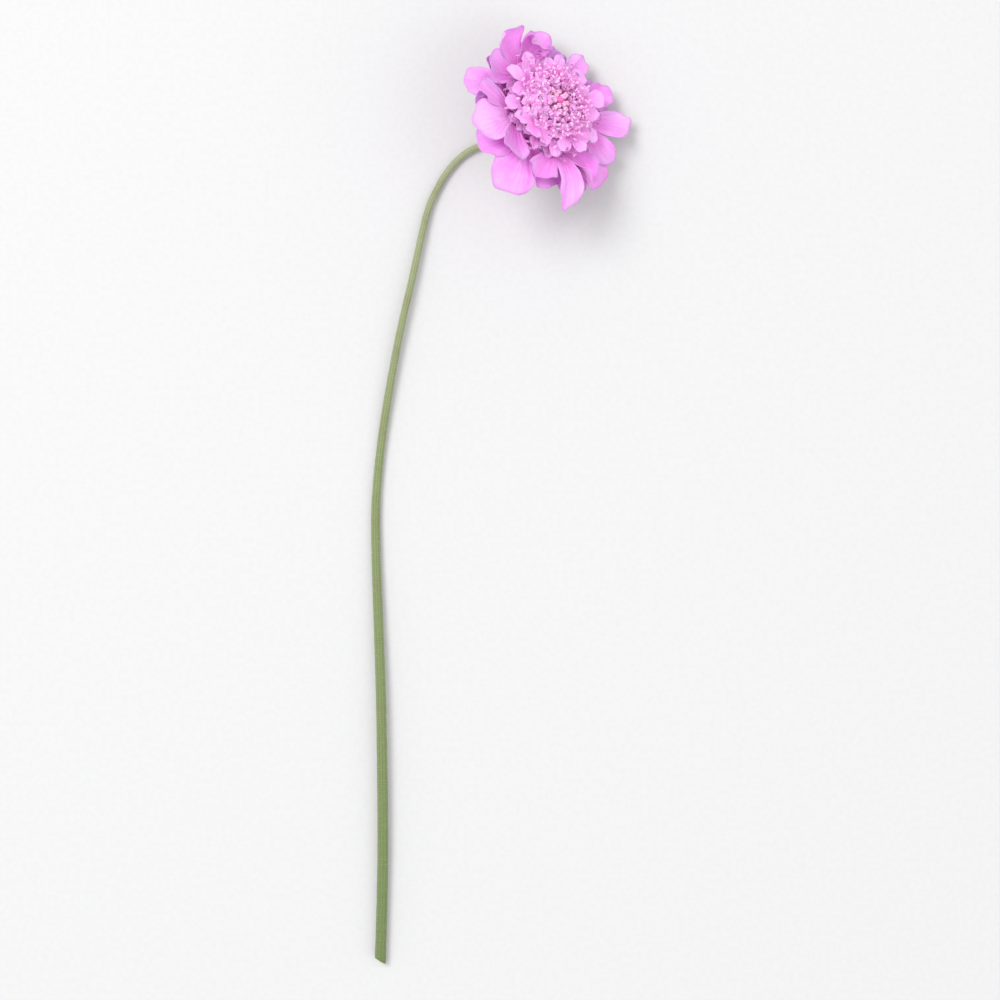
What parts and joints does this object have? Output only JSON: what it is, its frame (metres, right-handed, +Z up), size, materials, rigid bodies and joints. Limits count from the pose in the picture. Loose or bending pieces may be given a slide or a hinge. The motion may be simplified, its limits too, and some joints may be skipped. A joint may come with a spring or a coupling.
{
  "type": "cut scabiosa flower",
  "caption": "Cut scabiosa flower lying on a surface: a nodding head of ruffled pink florets round a pale pincushion, green bracts beneath, on a long bare curved stalk.",
  "frame": {"origin": "on the surface the flower lies on, under the middle of its box", "axes": "+Y along the stalk from the cut end towards the head, +Z up from the surface, +X to the right as seen from above, the side to which the head turns its face"},
  "size_m": [0.0698, 0.2517, 0.0345],
  "materials": {
    "stalk_green": "fresh green herbaceous stalk, satin, finely ribbed and downy",
    "bract_green": "matt downy green, browner towards the tips",
    "petal_pink": "soft matt petal with fine veins, mauve pink",
    "inner_pink": "soft matt petal, paler pink than the rim florets",
    "bud_cream": "matt waxy bud, cream flushed with rose"
  },
  "bodies": {
    "root": {"stem": "stalk_green", "involucre": "bract_green", "outer_florets": "petal_pink", "inner_florets": "inner_pink", "centre_buds": "bud_cream"}
  },
  "joints": []
}
